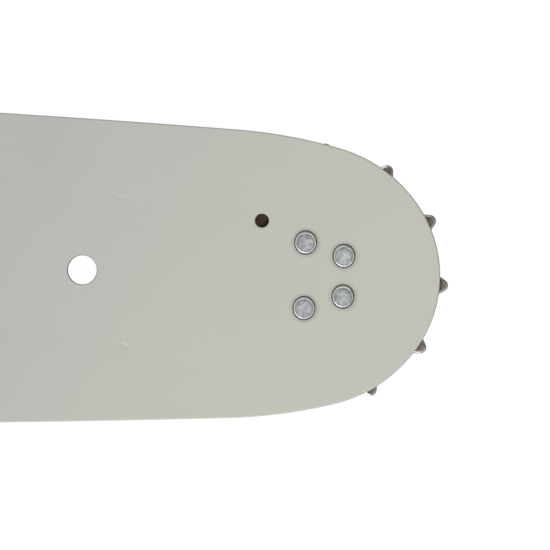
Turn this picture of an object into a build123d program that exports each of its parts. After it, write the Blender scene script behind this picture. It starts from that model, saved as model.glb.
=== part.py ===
# Chainsaw guide bar with a sprocket nose, at its real size in millimetres.
# Two side plates and a core plate are spot welded face to face. The core stands back from the edges,
# which leaves the groove for the chain. A toothed sprocket turns on rollers between the plates at the nose.
# The bar lies flat with its nose towards +Y. The origin is the middle of the stud slot, on the lower face.
import os
from math import acos, asin, cos, degrees, floor, hypot, pi, radians, sin

from build123d import *

# Lengths along the bar, from the middle of the stud slot
nose_axis_y = 390.0
tail_length = 55.0

# Outline of the side plates: tangent arcs from the nose tip to the tail, and the turn where each one starts
nose_radius = 26.9
shoulder_radius = 30.7
shoulder_start = 32.3
flank_radius = 110.7
flank_start = 75.1
belly_radius = 3280.0
belly_start = 87.0
tail_corner_radius = 12.0

# Layers
plate_thickness = 1.45
groove_width = 1.5
groove_depth = 8.0
core_tail_setback = 1.0
core_horn_radius = 0.8

# Slot for the clamping studs, and the holes beside it for the chain tensioner's pin
slot_width = 8.3
slot_length = 72.0
tensioner_hole_radius = 3.2
tensioner_offset = 14.0
tensioner_setback = 22.0

# Oil inlet in each side plate, with the channel in the core that leads it to the groove
oil_hole_radius = 1.5
oil_offset = 14.5
oil_advance = 12.0
oil_channel_width = 3.0

# Round holes near the nose, set back from the sprocket's axis
hang_hole_radius = 3.15
hang_setback = 50.45
grease_hole_radius = 1.5
grease_setback = 11.9
grease_offset = 11.65

# Sprocket
tooth_count = 12
tip_radius = 28.7
tip_rounding = 1.35
tooth_flank_angle = 31.0
gullet_rounding = 3.0
sprocket_thickness = 1.3
sprocket_rest_angle = -2.9
seat_clearance = 1.0

# Roller bearing
race_radius = 10.6
roller_radius = 2.15
roller_clearance = 0.04
roller_side_gap = 0.02
roller_end_clearance = 0.05

# Rivets: all places of a five-fold circle but the one towards the tail
rivet_circle_radius = 7.45
rivet_places = 5
rivet_count = 4
rivet_radius = 2.2
rivet_clearance = 0.03
rivet_stand = 0.35

# Derived sizes
tail_y = -tail_length
core_tail_y = tail_y + core_tail_setback
core_top = plate_thickness + groove_width
bar_thickness = core_top + plate_thickness
rivet_hole_radius = rivet_radius + rivet_clearance
rivet_span = 360.0 * (rivet_count - 1) / rivet_places
rivet_first_angle = 90.0 - rivet_span / 2
roller_circle_radius = race_radius + roller_clearance + roller_radius
sprocket_bore_radius = roller_circle_radius + roller_radius + roller_clearance
roller_count = floor(pi / asin((roller_radius + roller_side_gap / 2) / roller_circle_radius))

# Centres of the outline's arcs on the +X side, each in line with the one before at the turn where they meet
shoulder_centre_x = (nose_radius - shoulder_radius) * sin(radians(shoulder_start))
shoulder_centre_y = nose_axis_y + (nose_radius - shoulder_radius) * cos(radians(shoulder_start))
flank_centre_x = shoulder_centre_x + (shoulder_radius - flank_radius) * sin(radians(flank_start))
flank_centre_y = shoulder_centre_y + (shoulder_radius - flank_radius) * cos(radians(flank_start))
belly_centre_x = flank_centre_x + (flank_radius - belly_radius) * sin(radians(belly_start))
belly_centre_y = flank_centre_y + (flank_radius - belly_radius) * cos(radians(belly_start))
belly_end = degrees(acos((tail_y - belly_centre_y) / belly_radius))


# Planes at the sprocket's axis and for the two plates: each plate is drawn with its outer face up
def nose_plane(height, turn=0.0):
    direction = (cos(radians(turn)), sin(radians(turn)), 0)
    return Plane(origin=(0, nose_axis_y, height), x_dir=direction, z_dir=(0, 0, 1))


upper_plane = Plane.XY.offset(core_top)
lower_plane = Plane(origin=(0, 0, plate_thickness), x_dir=(-1, 0, 0), z_dir=(0, 0, -1))


# Side plate, a stamping that serves either side of the bar
def side_plate(plane):
    with BuildPart(plane) as plate:
        with BuildSketch(plane) as blank:
            with BuildLine():
                shoulder_centre = (shoulder_centre_x, shoulder_centre_y)
                CenterArc(shoulder_centre, shoulder_radius, 90 - shoulder_start, shoulder_start - flank_start)
                flank_centre = (flank_centre_x, flank_centre_y)
                CenterArc(flank_centre, flank_radius, 90 - flank_start, flank_start - belly_start)
                belly_centre = (belly_centre_x, belly_centre_y)
                belly = CenterArc(belly_centre, belly_radius, 90 - belly_start, belly_start - belly_end)
                mirror(about=Plane.YZ)
                CenterArc((0, nose_axis_y), nose_radius, 90 - shoulder_start, 2 * shoulder_start)
                tail_corner = belly @ 1
                Line(tail_corner, (-tail_corner.X, tail_corner.Y))
            make_face()
            fillet(blank.vertices().group_by(Axis.Y)[0], tail_corner_radius)
            SlotOverall(slot_length, slot_width, rotation=90, mode=Mode.SUBTRACT)
        extrude(amount=plate_thickness)
        with Locations((0, nose_axis_y - hang_setback)):
            Hole(hang_hole_radius)
        with Locations((-grease_offset, nose_axis_y - grease_setback)):
            Hole(grease_hole_radius)
        with Locations((-oil_offset, oil_advance)):
            Hole(oil_hole_radius)
        with Locations((-tensioner_offset, -tensioner_setback), (tensioner_offset, -tensioner_setback)):
            Hole(tensioner_hole_radius)
        with Locations((0, nose_axis_y)):
            with PolarLocations(rivet_circle_radius, rivet_count, rivet_first_angle, rivet_span, endpoint=True):
                Hole(rivet_hole_radius)
    return plate


side_plate_upper = side_plate(upper_plane)
side_plate_upper.part.label = "side_plate_upper"
side_plate_lower = side_plate(lower_plane)
side_plate_lower.part.label = "side_plate_lower"

# Core plate: set back by the groove's depth, with a round seat for the sprocket and channels for the oil
with BuildPart() as core_plate:
    with BuildSketch(Plane.XY.offset(plate_thickness)) as core_outline:
        with Locations((belly_centre_x, belly_centre_y)):
            Circle(belly_radius - groove_depth)
        with Locations((-belly_centre_x, belly_centre_y)):
            Circle(belly_radius - groove_depth, mode=Mode.INTERSECT)
        with Locations((0, core_tail_y)):
            core_reach = nose_axis_y - core_tail_y
            Rectangle(belly_radius, core_reach, align=(Align.CENTER, Align.MIN), mode=Mode.INTERSECT)
        with Locations((0, nose_axis_y)):
            Circle(tip_radius + seat_clearance, mode=Mode.SUBTRACT)
        fillet(core_outline.vertices().group_by(Axis.Y)[-1], core_horn_radius)
        SlotOverall(slot_length, slot_width, rotation=90, mode=Mode.SUBTRACT)
        with Locations((0, nose_axis_y - hang_setback)):
            Circle(hang_hole_radius, mode=Mode.SUBTRACT)
        with Locations((-tensioner_offset, -tensioner_setback), (tensioner_offset, -tensioner_setback)):
            Circle(tensioner_hole_radius, mode=Mode.SUBTRACT)
        channel_start = oil_offset - oil_channel_width / 2
        channel_middle = channel_start + shoulder_radius / 2
        with Locations((-channel_middle, oil_advance), (channel_middle, oil_advance)):
            Rectangle(shoulder_radius, oil_channel_width, mode=Mode.SUBTRACT)
    extrude(amount=groove_width)
core_plate.part.label = "core_plate"

# Nose sprocket: a star of straight flanks, rounded at the tips and in the gullets
half_pitch_angle = 180.0 / tooth_count
star_tip_radius = tip_radius + tip_rounding * (1 / sin(radians(tooth_flank_angle)) - 1)
star_root_radius = (
    star_tip_radius * sin(radians(tooth_flank_angle)) / sin(radians(tooth_flank_angle + half_pitch_angle))
)
star_points = []
for tooth in range(tooth_count):
    tip_angle = radians(2 * half_pitch_angle * tooth)
    root_angle = tip_angle + radians(half_pitch_angle)
    star_points.append((star_tip_radius * cos(tip_angle), star_tip_radius * sin(tip_angle)))
    star_points.append((star_root_radius * cos(root_angle), star_root_radius * sin(root_angle)))

with BuildPart() as nose_sprocket:
    sprocket_bottom = plate_thickness + (groove_width - sprocket_thickness) / 2
    with BuildSketch(nose_plane(sprocket_bottom, sprocket_rest_angle)) as star:
        with BuildLine():
            Polyline(*star_points, close=True)
        make_face()
        star_middle_radius = (star_tip_radius + star_root_radius) / 2
        fillet(star.vertices().filter_by(lambda v: hypot(v.X, v.Y) > star_middle_radius), tip_rounding)
        fillet(star.vertices().filter_by(lambda v: hypot(v.X, v.Y) < star_middle_radius), gullet_rounding)
        Circle(sprocket_bore_radius, mode=Mode.SUBTRACT)
    extrude(amount=sprocket_thickness)
nose_sprocket.part.label = "nose_sprocket"

# Bearing race: the fixed inner ring, pinched between the side plates by the rivets
with BuildPart(nose_plane(plate_thickness)) as bearing_race:
    Cylinder(race_radius, groove_width, align=(Align.CENTER, Align.CENTER, Align.MIN))
    with PolarLocations(rivet_circle_radius, rivet_count, rivet_first_angle, rivet_span, endpoint=True):
        Hole(rivet_hole_radius)
bearing_race.part.label = "bearing_race"

# Rivets: pins through the plates and the race, with ends that stand a little proud of the plates
with BuildPart(nose_plane(-rivet_stand)) as nose_rivets:
    with PolarLocations(rivet_circle_radius, rivet_count, rivet_first_angle, rivet_span, endpoint=True):
        rivet_length = bar_thickness + 2 * rivet_stand
        Cylinder(rivet_radius, rivet_length, align=(Align.CENTER, Align.CENTER, Align.MIN))
nose_rivets.part.label = "nose_rivets"

# Bearing rollers: a full set side by side between the race and the sprocket's bore
rollers = []
for index in range(roller_count):
    roller_angle = radians(360.0 * index / roller_count)
    roller_x = roller_circle_radius * cos(roller_angle)
    roller_y = nose_axis_y + roller_circle_radius * sin(roller_angle)
    roller_length = groove_width - 2 * roller_end_clearance
    with BuildPart(Plane((roller_x, roller_y, plate_thickness + roller_end_clearance))) as roller:
        Cylinder(roller_radius, roller_length, align=(Align.CENTER, Align.CENTER, Align.MIN))
    roller.part.label = f"roller_{index + 1:02d}"
    rollers.append(roller)

# One file for each piece
os.makedirs("parts", exist_ok=True)
plates = [side_plate_upper, side_plate_lower, core_plate]
for piece in [*plates, nose_sprocket, bearing_race, nose_rivets, *rollers]:
    export_step(piece.part, f"parts/{piece.part.label}.step")
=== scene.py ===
# Looks of a chainsaw guide bar with a sprocket nose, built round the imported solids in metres.
# The bar lies flat, with its nose towards +Y and its upper side plate facing the camera.
from math import acos, cos, pi, radians, sin

import bmesh
import bpy
from mathutils import Matrix, Vector


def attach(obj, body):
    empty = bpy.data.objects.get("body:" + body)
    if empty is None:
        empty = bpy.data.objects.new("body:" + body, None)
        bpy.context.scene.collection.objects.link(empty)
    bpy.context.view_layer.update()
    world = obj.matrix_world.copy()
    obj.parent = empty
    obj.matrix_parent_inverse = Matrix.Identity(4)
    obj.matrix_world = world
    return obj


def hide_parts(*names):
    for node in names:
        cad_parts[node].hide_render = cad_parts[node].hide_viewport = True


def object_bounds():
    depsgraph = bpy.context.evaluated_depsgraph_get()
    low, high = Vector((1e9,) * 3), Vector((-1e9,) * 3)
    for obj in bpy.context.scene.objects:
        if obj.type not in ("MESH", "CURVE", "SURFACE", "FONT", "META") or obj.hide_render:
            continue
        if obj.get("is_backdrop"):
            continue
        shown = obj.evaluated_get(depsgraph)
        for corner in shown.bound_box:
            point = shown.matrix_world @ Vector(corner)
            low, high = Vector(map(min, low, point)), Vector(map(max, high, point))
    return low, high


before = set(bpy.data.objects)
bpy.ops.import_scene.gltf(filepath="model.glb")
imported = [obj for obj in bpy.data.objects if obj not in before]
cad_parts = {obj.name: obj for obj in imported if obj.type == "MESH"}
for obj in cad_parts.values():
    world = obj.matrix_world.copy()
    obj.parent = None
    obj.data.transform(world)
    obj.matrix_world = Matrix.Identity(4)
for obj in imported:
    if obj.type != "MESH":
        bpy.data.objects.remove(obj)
cad_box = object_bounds()

# Sizes of the bar are in millimetres and turns in degrees
mm = 0.001

# Lengths along the bar, from the middle of the stud slot
nose_axis_y = 390.0
tail_y = -55.0

# Layers of the bar
plate_thickness = 1.45
bar_top = 4.4
bar_middle = bar_top / 2

# Outline of a side plate: tangent arcs, and the turn from the nose tip where each one starts
nose_radius = 26.9
shoulder_radius = 30.7
shoulder_start = 32.3
flank_radius = 110.7
flank_start = 75.1
belly_radius = 3280.0
belly_start = 87.0
tail_corner_radius = 12.0
rail_edge_round = 0.33
groove_edge_break = 0.12

# Holes in a side plate. The edge break is rounded through points given as shares of it, outwards and down
slot_width = 8.3
slot_length = 72.0
tensioner_hole_radius = 3.2
tensioner_offset = 14.0
tensioner_setback = 22.0
oil_hole_radius = 1.5
oil_offset = 14.5
oil_advance = 12.0
hang_hole_radius = 3.15
hang_setback = 50.45
grease_hole_radius = 1.5
grease_setback = 11.9
grease_offset = 11.65
hole_edge_break = 0.2
hole_edge_curve = [(0.08, 0.62), (0.3, 0.3), (0.62, 0.08)]

# Spot weld marks, in pairs along the bar: each electrode leans a little its own way, so that only one side
# of its edge bites into the plate, while its middle stays clear by a share of the bite
weld_radius = 3.15
weld_wall_width = 0.4
weld_wall_rise = 0.16
weld_clearance_share = 1.4
weld_offset = 18.7
weld_first_setback = 42.2
weld_pitch = 55.0
weld_pairs = 6

# Bite and direction of the weld marks, taken in turn
weld_bites = [(0.045, 350.0), (0.075, 146.0), (0.05, 250.0), (0.065, 110.0), (0.06, 200.0)]

# Nose rivets, in pressed mouths that are a little oval and out of line
rivet_circle_radius = 7.45
rivet_radius = 2.2
rivet_stand = 0.35
rim_inner_radius = 2.045
rivet_mouth_radius = 2.5
rivet_mouth_stretch = 1.07
rivet_mouth_depth = 0.3
rivet_mouth_drift = (-0.08, -0.05)
rivet_hole_radius = 2.23
rivet_first_angle = -18.0
rivet_step = 72.0
rivet_count = 4

# Section of a rivet's end, as radius and depth below the top of its rim: pressed face, groove, rim and wall
rivet_section = [
    (0.0, 0.06),
    (1.2, 0.06),
    (1.7, 0.064),
    (1.73, 0.072),
    (1.77, 0.11),
    (2.0, 0.12),
    (2.03, 0.07),
    (2.05, 0.012),
    (2.07, 0.0),
    (2.168, 0.02),
    (2.187, 0.035),
    (2.197, 0.08),
    (rivet_radius, 0.17),
]

# Nose sprocket
tooth_count = 12
tip_radius = 28.7
tip_rounding = 1.35
tooth_flank_angle = 31.0
gullet_rounding = 3.0
sprocket_bottom = 1.55
sprocket_thickness = 1.3
sprocket_rest_angle = -2.9
sprocket_bore_radius = 14.98
tooth_edge_bevel = 0.42

# Place of a second or third finish in its piece's list
rail_finish = 1
hole_finish = 2
rim_finish = 1
rubbed_and_sheen_finish = 1

# Slopes that decide a face's finish, as heights of its normal: the rail's walls with the inside of the
# groove, the bevels on both sides of the teeth, and the slope up to which the steel is bare in a small
# hole, in a larger one and in a rivet's mouth
rail_slopes = (-1.0, 0.1)
tooth_bevel_slopes = [(0.6, 0.98), (-0.98, -0.6)]
small_hole_bare = 0.4
hole_bare = 0.85
mouth_bare = 0.99

# Fineness of the round forms
hole_sides = 96
slot_sides = 98
rivet_sides = 72
rail_round_steps = 6
tip_steps = 16
gullet_steps = 14
tooth_bevel_steps = 2

# Faces that meet at less than this turn are shown as one smooth surface
plate_smooth_turn = 5.0
rivet_smooth_turn = 28.0
sprocket_smooth_turn = 14.0

# How far a cutter stands out of what it cuts, and how near to each other corners and heights count as one
cutter_reach = 1.0
corner_reach = 0.0005
height_reach = 0.001


# A place given in millimetres
def place(x, y, z):
    return (x * mm, y * mm, z * mm)


# Makes one piece the active one, with nothing else selected
def pick_piece(piece):
    bpy.ops.object.select_all(action="DESELECT")
    piece.select_set(True)
    bpy.context.view_layer.objects.active = piece


# Opens the active piece for editing, with all of it selected
def open_piece():
    bpy.ops.object.mode_set(mode="EDIT")
    bpy.ops.mesh.select_all(action="SELECT")


# Adds a primitive at its place and opens it for editing, with nothing else selected
def start_piece(name, primitive, **settings):
    bpy.ops.object.select_all(action="DESELECT")
    primitive(**settings)
    piece = bpy.context.object
    piece.name = name
    piece.data.name = name
    bpy.ops.object.transform_apply(location=True, rotation=True, scale=True)
    open_piece()
    return piece


# Starts a piece as a single corner, from which its outline is drawn
def start_outline(name, x, y, z):
    piece = start_piece(name, bpy.ops.mesh.primitive_plane_add, size=1.0 * mm, location=place(x, y, z))
    bpy.ops.mesh.merge(type="CENTER")
    return piece


# Adds the mirror image of what is drawn on the +X side
def mirror_half(middle):
    bpy.ops.mesh.select_all(action="SELECT")
    bpy.ops.mesh.duplicate()
    bpy.ops.transform.resize(value=(-1, 1, 1), center_override=middle)


# Merges the corners that fall together
def merge_corners():
    bpy.ops.mesh.select_all(action="SELECT")
    bpy.ops.mesh.remove_doubles(threshold=corner_reach * mm)


# Closes a piece: doubles merged and every face turned outwards
def close_piece():
    merge_corners()
    bpy.ops.mesh.normals_make_consistent(inside=False)
    bpy.ops.object.mode_set(mode="OBJECT")


# Gives a piece its finishes, in the order in which its faces count them
def dress(piece, *finishes):
    for finish in finishes:
        piece.data.materials.append(finish)


# Selects the edges that lie flat at one height
def pick_rim(piece, height):
    bpy.ops.mesh.select_all(action="DESELECT")
    bpy.ops.mesh.select_mode(type="EDGE")
    shape = bmesh.from_edit_mesh(piece.data)
    for edge in shape.edges:
        edge.select_set(all(abs(corner.co.z - height * mm) < height_reach * mm for corner in edge.verts))
    bmesh.update_edit_mesh(piece.data)


# Gives a finish to the faces whose normal has a height between two values
def finish_faces(piece, finish_place, lowest, highest):
    shape = bmesh.from_edit_mesh(piece.data)
    for face in shape.faces:
        face.normal_update()
        if lowest <= face.normal.z <= highest:
            face.material_index = finish_place
    bmesh.update_edit_mesh(piece.data)


# Turns the selection round the sprocket's axis, anticlockwise from above. With no window the operator turns
# the other way, so the sign is reversed
def turn_about_nose(angle):
    bpy.ops.transform.rotate(
        value=radians(-angle), orient_axis="Z", center_override=place(0, nose_axis_y, 0)
    )


# Takes the shapes of some tools out of a piece, all in one cut
def cut_away(piece, tools):
    pick_piece(tools[0])
    for tool in tools:
        tool.select_set(True)
    if len(tools) > 1:
        bpy.ops.object.join()
    pick_piece(piece)
    cut = piece.modifiers.new("cut", "BOOLEAN")
    cut.operation = "DIFFERENCE"
    cut.solver = "EXACT"
    cut.object = tools[0]
    bpy.ops.object.modifier_apply(modifier="cut")
    bpy.data.objects.remove(tools[0])


# A round cutter on an upright axis: a disc drawn up through rings of (radius, height).
# It leaves bare steel on faces that are steeper than a given slope, and paint on the others
def round_cutter(x, y, rings, bare_slope=0.0, sides=hole_sides):
    radius, height = rings[0]
    tool = start_piece(
        "cutter",
        bpy.ops.mesh.primitive_circle_add,
        vertices=sides,
        radius=radius * mm,
        fill_type="NGON",
        location=place(x, y, height),
    )
    for next_radius, next_height in rings[1:]:
        rise = place(0, 0, next_height - height)
        bpy.ops.mesh.extrude_region_move(TRANSFORM_OT_translate={"value": rise})
        growth = next_radius / radius
        bpy.ops.transform.resize(value=(growth, growth, 1), center_override=place(x, y, next_height))
        radius, height = next_radius, next_height
    dress(tool, enamel, rail_steel, hole_steel)
    finish_faces(tool, hole_finish, -bare_slope, bare_slope)
    close_piece()
    return tool


# A cutter for a punched hole whose mouth is slightly broken, with paint down to a given slope
def hole_cutter(x, y, radius, bare_slope=hole_bare, sides=hole_sides):
    rings = [(radius, bar_middle), (radius, bar_top - hole_edge_break)]
    for out, down in hole_edge_curve:
        rings.append((radius + out * hole_edge_break, bar_top - down * hole_edge_break))
    rings.append((radius + hole_edge_break, bar_top))
    rings.append((radius + hole_edge_break, bar_top + cutter_reach))
    return round_cutter(x, y, rings, bare_slope, sides)


# A cutter for the mark of a welding electrode: its flat end is clear of the plate, and leans until one side
# of it bites
def weld_cutter(x, y, bite, bite_side):
    clearance = weld_clearance_share * bite
    rings = [
        (weld_radius, bar_top + clearance),
        (weld_radius + weld_wall_width, bar_top + clearance + weld_wall_rise),
        (weld_radius + weld_wall_width, bar_top + cutter_reach),
    ]
    tool = round_cutter(x, y, rings)
    open_piece()
    pivot = place(x, y, bar_top + clearance)
    lean = (bite + clearance) / weld_radius
    bpy.ops.transform.rotate(value=lean, orient_axis="Y", center_override=pivot)
    bpy.ops.transform.rotate(value=radians(180 - bite_side), orient_axis="Z", center_override=pivot)
    close_piece()
    return tool


# The stud slot: a round cutter whose two halves are drawn apart along the bar
def slot_cutter():
    tool = hole_cutter(0, 0, slot_width / 2, sides=slot_sides)
    stretch = (slot_length - slot_width) / 2
    bpy.ops.object.mode_set(mode="EDIT")
    bpy.ops.mesh.select_mode(type="VERT")
    for side in (-1, 1):
        bpy.ops.mesh.select_all(action="DESELECT")
        shape = bmesh.from_edit_mesh(tool.data)
        for corner in shape.verts:
            corner.select_set(side * corner.co.y > 0)
        bmesh.update_edit_mesh(tool.data)
        bpy.ops.transform.translate(value=place(0, side * stretch, 0))
    close_piece()
    return tool


# Middles of the rivets
def rivet_places():
    places = []
    for index in range(rivet_count):
        angle = radians(rivet_first_angle + rivet_step * index)
        places.append((rivet_circle_radius * cos(angle), nose_axis_y + rivet_circle_radius * sin(angle)))
    return places


# Everything punched or pressed into a side plate, apart from the rivets' mouths
def plate_cutters():
    yield hole_cutter(0, nose_axis_y - hang_setback, hang_hole_radius)
    yield hole_cutter(-grease_offset, nose_axis_y - grease_setback, grease_hole_radius, small_hole_bare)
    yield hole_cutter(-oil_offset, oil_advance, oil_hole_radius, small_hole_bare)
    for side in (-1, 1):
        yield hole_cutter(side * tensioner_offset, -tensioner_setback, tensioner_hole_radius)
    yield slot_cutter()
    for x, y in rivet_places():
        rings = [(rivet_hole_radius, bar_middle), (rivet_hole_radius, bar_top + cutter_reach)]
        yield round_cutter(x, y, rings, mouth_bare)
    for index in range(weld_pairs):
        y = nose_axis_y - weld_first_setback - weld_pitch * index
        for side in (0, 1):
            bite, bite_side = weld_bites[(2 * index + side) % len(weld_bites)]
            yield weld_cutter((2 * side - 1) * weld_offset, y, bite, bite_side)


# The rivets' mouths, which are never quite in line with their holes
def mouth_cutters():
    drift_x, drift_y = rivet_mouth_drift
    for x, y in rivet_places():
        rings = [
            (rivet_hole_radius, bar_top - rivet_mouth_depth),
            (rivet_mouth_radius, bar_top),
            (rivet_mouth_radius, bar_top + cutter_reach),
        ]
        mouth = round_cutter(x + drift_x, y + drift_y, rings, mouth_bare)
        open_piece()
        middle = place(x + drift_x, y + drift_y, bar_top)
        bpy.ops.transform.resize(value=(rivet_mouth_stretch, 1, 1), center_override=middle)
        close_piece()
        yield mouth


# Arcs of the plate's outline on the +X side: centre, turn and steps of each one
def outline_arcs():
    shoulder_x = (nose_radius - shoulder_radius) * sin(radians(shoulder_start))
    shoulder_y = nose_axis_y + (nose_radius - shoulder_radius) * cos(radians(shoulder_start))
    flank_x = shoulder_x + (shoulder_radius - flank_radius) * sin(radians(flank_start))
    flank_y = shoulder_y + (shoulder_radius - flank_radius) * cos(radians(flank_start))
    belly_x = flank_x + (flank_radius - belly_radius) * sin(radians(belly_start))
    belly_y = flank_y + (flank_radius - belly_radius) * cos(radians(belly_start))
    reach = belly_radius - tail_corner_radius
    corner_start = acos((tail_y + tail_corner_radius - belly_y) / reach)
    corner_x = belly_x + reach * sin(corner_start)
    return [
        (0.0, nose_axis_y, radians(shoulder_start), 24),
        (shoulder_x, shoulder_y, radians(flank_start - shoulder_start), 30),
        (flank_x, flank_y, radians(belly_start - flank_start), 14),
        (belly_x, belly_y, corner_start - radians(belly_start), 32),
        (corner_x, tail_y + tail_corner_radius, pi - corner_start, 40),
    ]


# Side plate: half an outline spun arc by arc from the nose tip, mirrored, filled, thickened and punched.
# The rivets' mouths overlap their holes, so they are cut by themselves
def side_plate(name):
    plate = start_outline(name, 0, nose_axis_y + nose_radius, bar_top)
    arcs = outline_arcs()
    for centre_x, centre_y, turn, steps in arcs:
        centre = place(centre_x, centre_y, bar_top)
        bpy.ops.mesh.spin(steps=steps, angle=turn, center=centre, axis=(0, 0, 1))
    tail_half = arcs[-1][0]
    bpy.ops.mesh.extrude_vertices_move(TRANSFORM_OT_translate={"value": place(-tail_half, 0, 0)})
    mirror_half((0, 0, 0))
    merge_corners()
    bpy.ops.mesh.edge_face_add()
    thickness = place(0, 0, -plate_thickness)
    bpy.ops.mesh.extrude_region_move(TRANSFORM_OT_translate={"value": thickness})
    close_piece()
    bpy.ops.object.mode_set(mode="EDIT")
    pick_rim(plate, bar_top)
    bpy.ops.mesh.bevel(offset=rail_edge_round * mm, segments=rail_round_steps, affect="EDGES")
    pick_rim(plate, bar_top - plate_thickness)
    bpy.ops.mesh.bevel(offset=groove_edge_break * mm, segments=1, affect="EDGES")
    finish_faces(plate, rail_finish, *rail_slopes)
    close_piece()
    dress(plate, enamel, rail_steel, hole_steel)
    cut_away(plate, list(plate_cutters()))
    cut_away(plate, list(mouth_cutters()))
    bpy.ops.object.shade_smooth_by_angle(angle=radians(plate_smooth_turn))
    return plate


# A second piece from the first, with a mesh of its own, opened for editing
def copy_piece(piece, name):
    pick_piece(piece)
    bpy.ops.object.duplicate(linked=False)
    twin = bpy.context.object
    twin.name = name
    twin.data.name = name
    open_piece()
    return twin


# Nose rivet: half a section from the pressed upper face over the rim and down to the lower one, spun round
def nose_rivet(name):
    axis_x, axis_y = rivet_places()[0]
    rim_top = bar_top + rivet_stand
    upper_half = [(radius, rim_top - depth) for radius, depth in rivet_section]
    section = upper_half + [(radius, bar_top - height) for radius, height in reversed(upper_half)]
    rivet = start_outline(name, axis_x, axis_y, section[0][1])
    for (radius, height), (next_radius, next_height) in zip(section, section[1:]):
        step = place(next_radius - radius, 0, next_height - height)
        bpy.ops.mesh.extrude_vertices_move(TRANSFORM_OT_translate={"value": step})
    bpy.ops.mesh.select_all(action="SELECT")
    bpy.ops.mesh.spin(steps=rivet_sides, angle=2 * pi, center=place(axis_x, axis_y, 0), axis=(0, 0, 1))
    shape = bmesh.from_edit_mesh(rivet.data)
    for face in shape.faces:
        reach = (face.calc_center_median().to_2d() / mm - Vector((axis_x, axis_y))).length
        if reach >= rim_inner_radius:
            face.material_index = rim_finish
    bmesh.update_edit_mesh(rivet.data)
    close_piece()
    bpy.ops.object.shade_smooth_by_angle(angle=radians(rivet_smooth_turn))
    return rivet


# Nose sprocket: half a tooth drawn from its tip to the gullet, mirrored, repeated round the axis, thickened
# and bored
def nose_sprocket(name):
    half_pitch = radians(180.0 / tooth_count)
    flank_angle = radians(tooth_flank_angle)
    star_tip = tip_radius + tip_rounding * (1 / sin(flank_angle) - 1)
    star_root = star_tip * sin(flank_angle) / sin(flank_angle + half_pitch)
    gullet_reach = star_root + gullet_rounding / sin(flank_angle + half_pitch)
    tip_centre = Vector((0.0, nose_axis_y + tip_radius - tip_rounding))
    gullet_centre = Vector((gullet_reach * sin(half_pitch), nose_axis_y + gullet_reach * cos(half_pitch)))
    flank_normal = Vector((cos(flank_angle), sin(flank_angle)))
    flank = gullet_centre - gullet_rounding * flank_normal - tip_centre - tip_rounding * flank_normal
    top = sprocket_bottom + sprocket_thickness
    axis_place = place(0, nose_axis_y, top)
    sprocket = start_outline(name, 0, nose_axis_y + tip_radius, top)
    tip_turn = pi / 2 - flank_angle
    tip_place = place(*tip_centre, top)
    bpy.ops.mesh.spin(steps=tip_steps, angle=tip_turn, center=tip_place, axis=(0, 0, 1))
    bpy.ops.mesh.extrude_vertices_move(TRANSFORM_OT_translate={"value": place(*flank, 0)})
    gullet_turn = half_pitch + flank_angle - pi / 2
    gullet_place = place(*gullet_centre, top)
    bpy.ops.mesh.spin(steps=gullet_steps, angle=gullet_turn, center=gullet_place, axis=(0, 0, 1))
    mirror_half(axis_place)
    bpy.ops.mesh.select_all(action="SELECT")
    bpy.ops.mesh.spin(steps=tooth_count, dupli=True, angle=2 * pi, center=axis_place, axis=(0, 0, 1))
    merge_corners()
    turn_about_nose(sprocket_rest_angle)
    bpy.ops.mesh.edge_face_add()
    thickness = place(0, 0, -sprocket_thickness)
    bpy.ops.mesh.extrude_region_move(TRANSFORM_OT_translate={"value": thickness})
    close_piece()
    bpy.ops.object.mode_set(mode="EDIT")
    for height in (sprocket_bottom, top):
        pick_rim(sprocket, height)
        bpy.ops.mesh.bevel(offset=tooth_edge_bevel * mm, segments=tooth_bevel_steps, affect="EDGES")
    # The tooth bevels take the rubbed steel with its painted sheen
    for lowest, highest in tooth_bevel_slopes:
        finish_faces(sprocket, rubbed_and_sheen_finish, lowest, highest)
    close_piece()
    bore_ends = (sprocket_bottom - cutter_reach, top + cutter_reach)
    bore = [(sprocket_bore_radius, height) for height in bore_ends]
    cut_away(sprocket, [round_cutter(0, nose_axis_y, bore)])
    bpy.ops.object.shade_smooth_by_angle(angle=radians(sprocket_smooth_turn))
    return sprocket


# Distance of a point from the axis of the nearest rivet
def rivet_distance(finish, where):
    level = add_node(finish, "ShaderNodeVectorMath", {1: (1.0, 1.0, 0.0)}, {0: where}, operation="MULTIPLY")
    nearest = None
    for x, y in rivet_places():
        reach = add_node(
            finish,
            "ShaderNodeVectorMath",
            {1: place(x, y, 0)},
            {0: level.outputs["Vector"]},
            operation="DISTANCE",
        ).outputs["Value"]
        if nearest is None:
            nearest = reach
            continue
        nearest = add_node(
            finish, "ShaderNodeMath", links={0: nearest, 1: reach}, operation="MINIMUM"
        ).outputs["Value"]
    return nearest


# sRGB hex to the linear colour that a shader takes
def linear(hex_colour):
    channels = [int(hex_colour[index : index + 2], 16) / 255 for index in (1, 3, 5)]
    curve = [value / 12.92 if value <= 0.04045 else ((value + 0.055) / 1.055) ** 2.4 for value in channels]
    return (*curve, 1.0)


# Adds a node to a finish, with its settings, its values and the outputs that lead into it
def add_node(finish, kind, values=None, links=None, **settings):
    node = finish.node_tree.nodes.new(kind)
    for name, setting in settings.items():
        setattr(node, name, setting)
    for socket, value in (values or {}).items():
        node.inputs[socket].default_value = value
    for socket, source in (links or {}).items():
        finish.node_tree.links.new(source, node.inputs[socket])
    return node


# Names a finish and clears its nodes, ready for its own
def new_finish(name):
    finish = bpy.data.materials.new(name)
    finish.use_nodes = True
    finish.node_tree.nodes.clear()
    return finish
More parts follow.
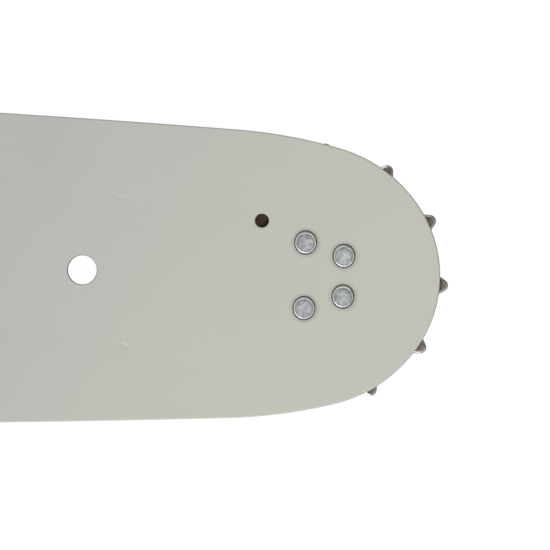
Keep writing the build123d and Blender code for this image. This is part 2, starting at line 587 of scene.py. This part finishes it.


# Stoved enamel, sprayed on steel: a pale warm grey with a semi-matte skin, a faint cloudiness in its
# colour, the fine orange peel of spraying, and painted shade towards the tail, the -X edge and round the
# rivets
def stoved_enamel():
    finish = new_finish("stoved_enamel")
    where = add_node(finish, "ShaderNodeTexCoord").outputs["Object"]
    # The coat is painted a little cooler and darker towards the tail and towards the edge at -X: painted
    # shade where the light falls off
    slant = add_node(
        finish, "ShaderNodeVectorMath", {1: (0.5, 1.0, 0.0)}, {0: where}, operation="DOT_PRODUCT"
    )
    painted_light_share = add_node(
        finish,
        "ShaderNodeMapRange",
        {"From Min": 285.0 * mm, "From Max": 394.0 * mm},
        {"Value": slant.outputs["Value"]},
        interpolation_type="SMOOTHSTEP",
    )
    shaded_coat = add_node(
        finish,
        "ShaderNodeMix",
        {6: linear("#A7AAA6"), 7: linear("#B4B4AB")},
        {0: painted_light_share.outputs["Result"]},
        data_type="RGBA",
    )
    # Clouds about 26 mm across and specks about 1.6 mm across
    cloud = add_node(
        finish, "ShaderNodeTexNoise", {"Scale": 1 / (26.0 * mm), "Detail": 3.0}, {"Vector": where}
    )
    speck = add_node(
        finish, "ShaderNodeTexNoise", {"Scale": 1 / (1.6 * mm), "Detail": 2.0}, {"Vector": where}
    )
    mottle = add_node(
        finish,
        "ShaderNodeMath",
        {1: 0.4},
        {0: speck.outputs["Fac"], 2: cloud.outputs["Fac"]},
        operation="MULTIPLY_ADD",
    )
    shade = add_node(
        finish,
        "ShaderNodeMapRange",
        {"From Min": 0.3, "From Max": 1.1, "To Min": 0.975, "To Max": 1.015},
        {"Value": mottle.outputs["Value"]},
    )
    # Painted shade round each proud rivet, fading out about a millimetre from its mouth
    grime_and_shade = add_node(
        finish,
        "ShaderNodeMapRange",
        {"From Min": 2.6 * mm, "From Max": 3.6 * mm, "To Min": 0.8},
        {"Value": rivet_distance(finish, where)},
        interpolation_type="SMOOTHSTEP",
    )
    dull = add_node(
        finish,
        "ShaderNodeMath",
        links={0: shade.outputs["Result"], 1: grime_and_shade.outputs["Result"]},
        operation="MULTIPLY",
    )
    tone = add_node(
        finish,
        "ShaderNodeVectorMath",
        links={0: shaded_coat.outputs[2], "Scale": dull.outputs["Value"]},
        operation="SCALE",
    )
    # Orange peel about 1 mm across
    peel = add_node(
        finish, "ShaderNodeTexNoise", {"Scale": 1 / (1.1 * mm), "Detail": 1.0}, {"Vector": where}
    )
    bump = add_node(
        finish,
        "ShaderNodeBump",
        {"Strength": 0.12, "Distance": 0.02 * mm},
        {"Height": peel.outputs["Fac"]},
    )
    skin = add_node(
        finish,
        "ShaderNodeBsdfPrincipled",
        {"Roughness": 0.33, "IOR": 1.5},
        {"Base Color": tone.outputs["Vector"], "Normal": bump.outputs["Normal"]},
    )
    add_node(finish, "ShaderNodeOutputMaterial", links={"Surface": skin.outputs["BSDF"]})
    return finish


# Hardened rail steel, ground after welding: bright grey with fine scratches along the edge. The unpainted
# inside of the groove has it too
def ground_rail_steel():
    finish = new_finish("ground_rail_steel")
    where = add_node(finish, "ShaderNodeTexCoord").outputs["Object"]
    # Scratches 17 mm long, 2.5 mm deep into the plate and 0.11 mm apart
    grit = add_node(
        finish,
        "ShaderNodeMapping",
        {"Scale": (1 / (2.5 * mm), 1 / (17.0 * mm), 1 / (0.11 * mm))},
        {"Vector": where},
    )
    scratch = add_node(
        finish, "ShaderNodeTexNoise", {"Scale": 1.0, "Detail": 4.0}, {"Vector": grit.outputs["Vector"]}
    )
    tone = add_node(
        finish,
        "ShaderNodeMix",
        {6: linear("#77767A"), 7: linear("#A6A5A4")},
        {0: scratch.outputs["Fac"]},
        data_type="RGBA",
    )
    rough = add_node(
        finish, "ShaderNodeMapRange", {"To Min": 0.3, "To Max": 0.5}, {"Value": scratch.outputs["Fac"]}
    )
    steel = add_node(
        finish,
        "ShaderNodeBsdfPrincipled",
        {"Metallic": 1.0},
        {"Base Color": tone.outputs[2], "Roughness": rough.outputs["Result"]},
    )
    add_node(finish, "ShaderNodeOutputMaterial", links={"Surface": steel.outputs["BSDF"]})
    return finish


# Punched steel in the holes and the rivets' mouths, never painted: dark grey, oily and dull
def oily_hole_steel():
    finish = new_finish("oily_hole_steel")
    where = add_node(finish, "ShaderNodeTexCoord").outputs["Object"]
    # Grime in patches about 1.2 mm across
    grime_and_shade = add_node(
        finish, "ShaderNodeTexNoise", {"Scale": 1 / (1.2 * mm), "Detail": 3.0}, {"Vector": where}
    )
    tone = add_node(
        finish,
        "ShaderNodeMix",
        {6: linear("#565451"), 7: linear("#7C7A76")},
        {0: grime_and_shade.outputs["Fac"]},
        data_type="RGBA",
    )
    # The steel is a little lighter in the rivets' mouths than in the open holes
    mouth_lightening = add_node(
        finish,
        "ShaderNodeMapRange",
        {"From Min": 3.0 * mm, "From Max": 4.0 * mm, "To Min": 1.15, "To Max": 1.0},
        {"Value": rivet_distance(finish, where)},
    )
    wall = add_node(
        finish,
        "ShaderNodeVectorMath",
        links={0: tone.outputs[2], "Scale": mouth_lightening.outputs["Result"]},
        operation="SCALE",
    )
    steel = add_node(
        finish,
        "ShaderNodeBsdfPrincipled",
        {"Metallic": 0.4, "Roughness": 0.5},
        {"Base Color": wall.outputs["Vector"]},
    )
    add_node(finish, "ShaderNodeOutputMaterial", links={"Surface": steel.outputs["BSDF"]})
    return finish


# Hardened sprocket steel, browned by its heat treatment: dull brown grey with uneven oxide
def browned_sprocket_steel():
    finish = new_finish("browned_sprocket_steel")
    where = add_node(finish, "ShaderNodeTexCoord").outputs["Object"]
    # The heat tint is olive at the tooth that points along the bar and mauve on the others,
    # and the oxide is speckled at a little under a millimetre
    from_tip = add_node(
        finish,
        "ShaderNodeVectorMath",
        {1: place(0, nose_axis_y + tip_radius, sprocket_bottom)},
        {0: where},
        operation="DISTANCE",
    )
    tint_share = add_node(
        finish,
        "ShaderNodeMapRange",
        {"From Min": 5.0 * mm, "From Max": 18.0 * mm},
        {"Value": from_tip.outputs["Value"]},
    )
    tint = add_node(
        finish,
        "ShaderNodeMix",
        {6: linear("#908D79"), 7: linear("#928A86")},
        {0: tint_share.outputs["Result"]},
        data_type="RGBA",
    )
    bloom = add_node(
        finish, "ShaderNodeTexNoise", {"Scale": 1 / (0.9 * mm), "Detail": 2.0}, {"Vector": where}
    )
    speckle = add_node(
        finish,
        "ShaderNodeMapRange",
        {"From Min": 0.3, "From Max": 0.7, "To Min": 0.5, "To Max": 1.4},
        {"Value": bloom.outputs["Fac"]},
    )
    tone = add_node(
        finish,
        "ShaderNodeVectorMath",
        links={0: tint.outputs[2], "Scale": speckle.outputs["Result"]},
        operation="SCALE",
    )
    # Grease creeps out from the bearing as a dark film on the web. Round the bore the web is painted almost
    # black, a painted shadow in the grease hole; the teeth darken towards the rail, partly grease and
    # partly painted shade, and only the tooth tips are dry
    axis = add_node(
        finish,
        "ShaderNodeVectorMath",
        {1: place(0, nose_axis_y, sprocket_bottom + sprocket_thickness / 2)},
        {0: where},
        operation="DISTANCE",
    )
    dry_and_lit = add_node(
        finish,
        "ShaderNodeMapRange",
        {"From Min": 26.4 * mm, "From Max": 28.5 * mm},
        {"Value": axis.outputs["Value"]},
    )
    bore_shadow_fade = add_node(
        finish,
        "ShaderNodeMapRange",
        {"From Min": 15.3 * mm, "From Max": 16.7 * mm},
        {"Value": axis.outputs["Value"]},
        interpolation_type="SMOOTHSTEP",
    )
    grease_and_shadow = add_node(
        finish,
        "ShaderNodeMix",
        {6: linear("#170D07"), 7: linear("#453126")},
        {0: bore_shadow_fade.outputs["Result"]},
        data_type="RGBA",
    )
    greased_and_shaded = add_node(
        finish,
        "ShaderNodeMix",
        links={0: dry_and_lit.outputs["Result"], 6: grease_and_shadow.outputs[2], 7: tone.outputs["Vector"]},
        data_type="RGBA",
    )
    steel = add_node(
        finish,
        "ShaderNodeBsdfPrincipled",
        {"Metallic": 0.5, "Roughness": 0.5},
        {"Base Color": greased_and_shaded.outputs[2]},
    )
    add_node(finish, "ShaderNodeOutputMaterial", links={"Surface": steel.outputs["BSDF"]})
    return finish


# The same steel on the tooth edges, lighter, pinkish grey and brighter, in patches about 1.5 mm across:
# partly where tumbling has rubbed the oxide off, partly a painted sheen of the bright room on the bevels
def rubbed_and_sheened_tooth_steel():
    finish = new_finish("rubbed_and_sheened_tooth_steel")
    where = add_node(finish, "ShaderNodeTexCoord").outputs["Object"]
    rub = add_node(
        finish, "ShaderNodeTexNoise", {"Scale": 1 / (1.5 * mm), "Detail": 3.0}, {"Vector": where}
    )
    tone = add_node(
        finish,
        "ShaderNodeMix",
        {6: linear("#A79E9A"), 7: linear("#CFC7C3")},
        {0: rub.outputs["Fac"]},
        data_type="RGBA",
    )
    steel = add_node(
        finish,
        "ShaderNodeBsdfPrincipled",
        {"Metallic": 1.0, "Roughness": 0.4},
        {"Base Color": tone.outputs[2]},
    )
    add_node(finish, "ShaderNodeOutputMaterial", links={"Surface": steel.outputs["BSDF"]})
    return finish


# Pressed rivet steel: bright bluish grey, smeared and mottled by the riveting tool
def pressed_rivet_steel():
    finish = new_finish("pressed_rivet_steel")
    where = add_node(finish, "ShaderNodeTexCoord").outputs["Object"]
    # Smears about 1.6 mm across, drawn out by the distortion
    smear = add_node(
        finish,
        "ShaderNodeTexNoise",
        {"Scale": 1 / (1.6 * mm), "Detail": 4.0, "Distortion": 1.8},
        {"Vector": where},
    )
    smear_share = add_node(
        finish, "ShaderNodeMapRange", {"From Min": 0.3, "From Max": 0.7}, {"Value": smear.outputs["Fac"]}
    )
    metal = add_node(
        finish,
        "ShaderNodeMix",
        {6: linear("#9A9EA0"), 7: linear("#D0D3D2")},
        {0: smear_share.outputs["Result"]},
        data_type="RGBA",
    )
    # The face grows darker and rougher from the middle towards the groove inside the rim
    radial_dulling = add_node(
        finish,
        "ShaderNodeMapRange",
        {"From Min": 0.5 * mm, "From Max": 2.1 * mm, "To Min": 1.0, "To Max": 0.66},
        {"Value": rivet_distance(finish, where)},
        interpolation_type="SMOOTHSTEP",
    )
    tone = add_node(
        finish,
        "ShaderNodeVectorMath",
        links={0: metal.outputs[2], "Scale": radial_dulling.outputs["Result"]},
        operation="SCALE",
    )
    polish = add_node(
        finish, "ShaderNodeMapRange", {"To Min": 0.28, "To Max": 0.5}, {"Value": smear.outputs["Fac"]}
    )
    rough = add_node(
        finish,
        "ShaderNodeMath",
        links={0: polish.outputs["Result"], 1: radial_dulling.outputs["Result"]},
        operation="DIVIDE",
    )
    steel = add_node(
        finish,
        "ShaderNodeBsdfPrincipled",
        {"Metallic": 1.0},
        {"Base Color": tone.outputs["Vector"], "Roughness": rough.outputs["Value"]},
    )
    add_node(finish, "ShaderNodeOutputMaterial", links={"Surface": steel.outputs["BSDF"]})
    return finish


# Rivet rim, paler and more even than the pressed face, rubbed in patches about 1.2 mm across: partly
# burnished by the riveting tool, partly a painted sheen on its tilted crest
def burnished_and_sheened_rim_steel():
    finish = new_finish("burnished_and_sheened_rim_steel")
    where = add_node(finish, "ShaderNodeTexCoord").outputs["Object"]
    rub = add_node(
        finish, "ShaderNodeTexNoise", {"Scale": 1 / (1.2 * mm), "Detail": 2.0}, {"Vector": where}
    )
    tone = add_node(
        finish,
        "ShaderNodeMix",
        {6: linear("#CCCCC8"), 7: linear("#F6F6F2")},
        {0: rub.outputs["Fac"]},
        data_type="RGBA",
    )
    steel = add_node(
        finish,
        "ShaderNodeBsdfPrincipled",
        {"Metallic": 1.0, "Roughness": 0.45},
        {"Base Color": tone.outputs[2]},
    )
    add_node(finish, "ShaderNodeOutputMaterial", links={"Surface": steel.outputs["BSDF"]})
    return finish


# Cold rolled core steel: grey with faint rolling lines along the bar, dulled by oil
def rolled_core_steel():
    finish = new_finish("rolled_core_steel")
    where = add_node(finish, "ShaderNodeTexCoord").outputs["Object"]
    # Rolling lines 33 mm long and 0.7 mm apart
    lines = add_node(
        finish,
        "ShaderNodeMapping",
        {"Scale": (1 / (0.7 * mm), 1 / (33.0 * mm), 1 / (0.7 * mm))},
        {"Vector": where},
    )
    roll = add_node(
        finish, "ShaderNodeTexNoise", {"Scale": 1.0, "Detail": 3.0}, {"Vector": lines.outputs["Vector"]}
    )
    tone = add_node(
        finish,
        "ShaderNodeMix",
        {6: linear("#6B6B6C"), 7: linear("#8F8E8C")},
        {0: roll.outputs["Fac"]},
        data_type="RGBA",
    )
    steel = add_node(
        finish,
        "ShaderNodeBsdfPrincipled",
        {"Metallic": 1.0, "Roughness": 0.45},
        {"Base Color": tone.outputs[2]},
    )
    add_node(finish, "ShaderNodeOutputMaterial", links={"Surface": steel.outputs["BSDF"]})
    return finish


# Ground bearing steel: bright, even and finely polished, with a thin film of grease in places about 3 mm
# across
def ground_bearing_steel():
    finish = new_finish("ground_bearing_steel")
    where = add_node(finish, "ShaderNodeTexCoord").outputs["Object"]
    film = add_node(
        finish, "ShaderNodeTexNoise", {"Scale": 1 / (3.0 * mm), "Detail": 2.0}, {"Vector": where}
    )
    tone = add_node(
        finish,
        "ShaderNodeMix",
        {6: linear("#A5A29A"), 7: linear("#C4C4C4")},
        {0: film.outputs["Fac"]},
        data_type="RGBA",
    )
    rough = add_node(
        finish, "ShaderNodeMapRange", {"To Min": 0.15, "To Max": 0.35}, {"Value": film.outputs["Fac"]}
    )
    steel = add_node(
        finish,
        "ShaderNodeBsdfPrincipled",
        {"Metallic": 1.0},
        {"Base Color": tone.outputs[2], "Roughness": rough.outputs["Result"]},
    )
    add_node(finish, "ShaderNodeOutputMaterial", links={"Surface": steel.outputs["BSDF"]})
    return finish


# White table top that glows by itself, so that the bar throws almost no shadow on it
def lit_table_white():
    finish = new_finish("lit_table_white")
    where = add_node(finish, "ShaderNodeTexCoord").outputs["Object"]
    # Clouds half a metre across, too faint to draw the eye
    cloud = add_node(finish, "ShaderNodeTexNoise", {"Scale": 1 / (500.0 * mm)}, {"Vector": where})
    tone = add_node(
        finish,
        "ShaderNodeMix",
        {6: linear("#5A5A5A"), 7: linear("#5C5C5C")},
        {0: cloud.outputs["Fac"]},
        data_type="RGBA",
    )
    top = add_node(
        finish,
        "ShaderNodeBsdfPrincipled",
        {
            "Roughness": 0.9,
            "Specular IOR Level": 0.0,
            "Emission Color": (1.0, 1.0, 1.0, 1.0),
            "Emission Strength": 0.96,
        },
        {"Base Color": tone.outputs[2]},
    )
    add_node(finish, "ShaderNodeOutputMaterial", links={"Surface": top.outputs["BSDF"]})
    return finish


enamel = stoved_enamel()
rail_steel = ground_rail_steel()
hole_steel = oily_hole_steel()
sprocket_steel = browned_sprocket_steel()
tooth_steel = rubbed_and_sheened_tooth_steel()
rivet_steel = pressed_rivet_steel()
rim_steel = burnished_and_sheened_rim_steel()
core_steel = rolled_core_steel()
bearing_steel = ground_bearing_steel()

# Side plates: one stamping, and its copy turned over
upper_plate = side_plate("painted_plate_upper")
lower_plate = copy_piece(upper_plate, "painted_plate_lower")
bpy.ops.transform.rotate(value=pi, orient_axis="Y", center_override=place(0, 0, bar_middle))
bpy.ops.object.mode_set(mode="OBJECT")
for plate, node in ((upper_plate, "side_plate_upper"), (lower_plate, "side_plate_lower")):
    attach(plate, "bar")
    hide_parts(node)

# Nose rivets
rivets = [nose_rivet("pressed_rivet_1")]
for index in range(1, rivet_count):
    rivets.append(copy_piece(rivets[0], f"pressed_rivet_{index + 1}"))
    turn_about_nose(rivet_step * index)
    bpy.ops.object.mode_set(mode="OBJECT")
for rivet in rivets:
    dress(rivet, rivet_steel, rim_steel)
    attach(rivet, "bar")
    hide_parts("nose_rivets")

# Nose sprocket
sprocket = nose_sprocket("toothed_sprocket")
dress(sprocket, sprocket_steel, tooth_steel)
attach(sprocket, "sprocket")
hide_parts("nose_sprocket")

# Solids whose shape is right take their finish as they are
for name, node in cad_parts.items():
    if name == "core_plate":
        node.data.materials.clear()
        dress(node, core_steel)
    elif name == "bearing_race" or name.startswith("roller"):
        node.data.materials.clear()
        dress(node, bearing_steel)

# Table top under the rivets' lower ends, far wider than any view. Its width, the lamps and the camera's
# height are in metres
table_width = 40.0
table_top = start_piece(
    "table_top",
    bpy.ops.mesh.primitive_plane_add,
    size=table_width,
    location=place(0, 0, -rivet_stand),
)
bpy.ops.mesh.subdivide(number_cuts=4)
bpy.ops.object.mode_set(mode="OBJECT")
dress(table_top, lit_table_white())
table_top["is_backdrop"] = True

# The glow of the table top is for the eye alone: the bar takes its light from the room and the lamps
table_top.visible_diffuse = False
table_top.visible_glossy = False

# Soft studio light: a pale room that is brightest towards the tail and the +X side,
# with a broad key lamp on the bright side, a weaker one across the bar and a high lamp near the nose
room = bpy.data.worlds.new("pale_room")
room.use_nodes = True
room.node_tree.nodes.clear()
way = add_node(room, "ShaderNodeTexCoord").outputs["Generated"]
bright_side = add_node(
    room, "ShaderNodeVectorMath", {1: (0.72, -0.69, 0.0)}, {0: way}, operation="DOT_PRODUCT"
)
wall = add_node(
    room,
    "ShaderNodeMapRange",
    {"From Min": -0.75, "From Max": 1.0, "To Min": 0.22, "To Max": 1.0},
    {"Value": bright_side.outputs["Value"]},
)
shell = add_node(
    room, "ShaderNodeBackground", {"Color": (1.0, 1.0, 1.0, 1.0)}, {"Strength": wall.outputs["Result"]}
)
add_node(room, "ShaderNodeOutputWorld", links={"Surface": shell.outputs["Background"]})
bpy.context.scene.world = room


# A round soft lamp that faces the nose and isn't seen by the camera
def soft_lamp(name, spot, size, power):
    lamp = bpy.data.lights.new(name, "AREA")
    lamp.shape = "DISK"
    lamp.size = size
    lamp.energy = power
    stand = bpy.data.objects.new(name, lamp)
    bpy.context.scene.collection.objects.link(stand)
    stand.location = spot
    nose = Vector(place(0, nose_axis_y, 0))
    stand.rotation_euler = (Vector(spot) - nose).to_track_quat("Z", "Y").to_euler()
    stand.visible_camera = False


soft_lamp("key_lamp", spot=(1.2, -0.2, 0.9), size=1.0, power=17.0)
soft_lamp("cross_lamp", spot=(-1.1, 0.0, 0.85), size=0.8, power=4.8)
soft_lamp("high_lamp", spot=(0.25, 0.72, 1.1), size=0.5, power=1.8)

# Camera straight above the nose, turned a little about its own axis
view_middle = Vector(place(0.035, 381.21, bar_top))
view_width = 118.8 * mm
view_roll = radians(1.47)
camera_height = 2.0
camera_data = bpy.data.cameras.new("camera")
camera_data.lens = camera_data.sensor_width * camera_height / view_width
camera_data.clip_end = 100.0
camera = bpy.data.objects.new("camera", camera_data)
bpy.context.scene.collection.objects.link(camera)
right = Vector((-sin(view_roll), cos(view_roll), 0.0))
up = Vector((-cos(view_roll), -sin(view_roll), 0.0))
turn = Matrix((right, up, right.cross(up))).transposed()
camera.matrix_world = Matrix.Translation(view_middle + Vector((0, 0, camera_height))) @ turn.to_4x4()
bpy.context.scene.camera = camera
bpy.context.scene.view_settings.view_transform = "Standard"
bpy.context.scene.view_settings.look = "None"

# The solids' box and the dressed part's box, for comparing sizes
dressed_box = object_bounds()
boxes = {"cad": cad_box, "visual": dressed_box}
{name: [[float(c) for c in corner] for corner in box] for name, box in boxes.items()}
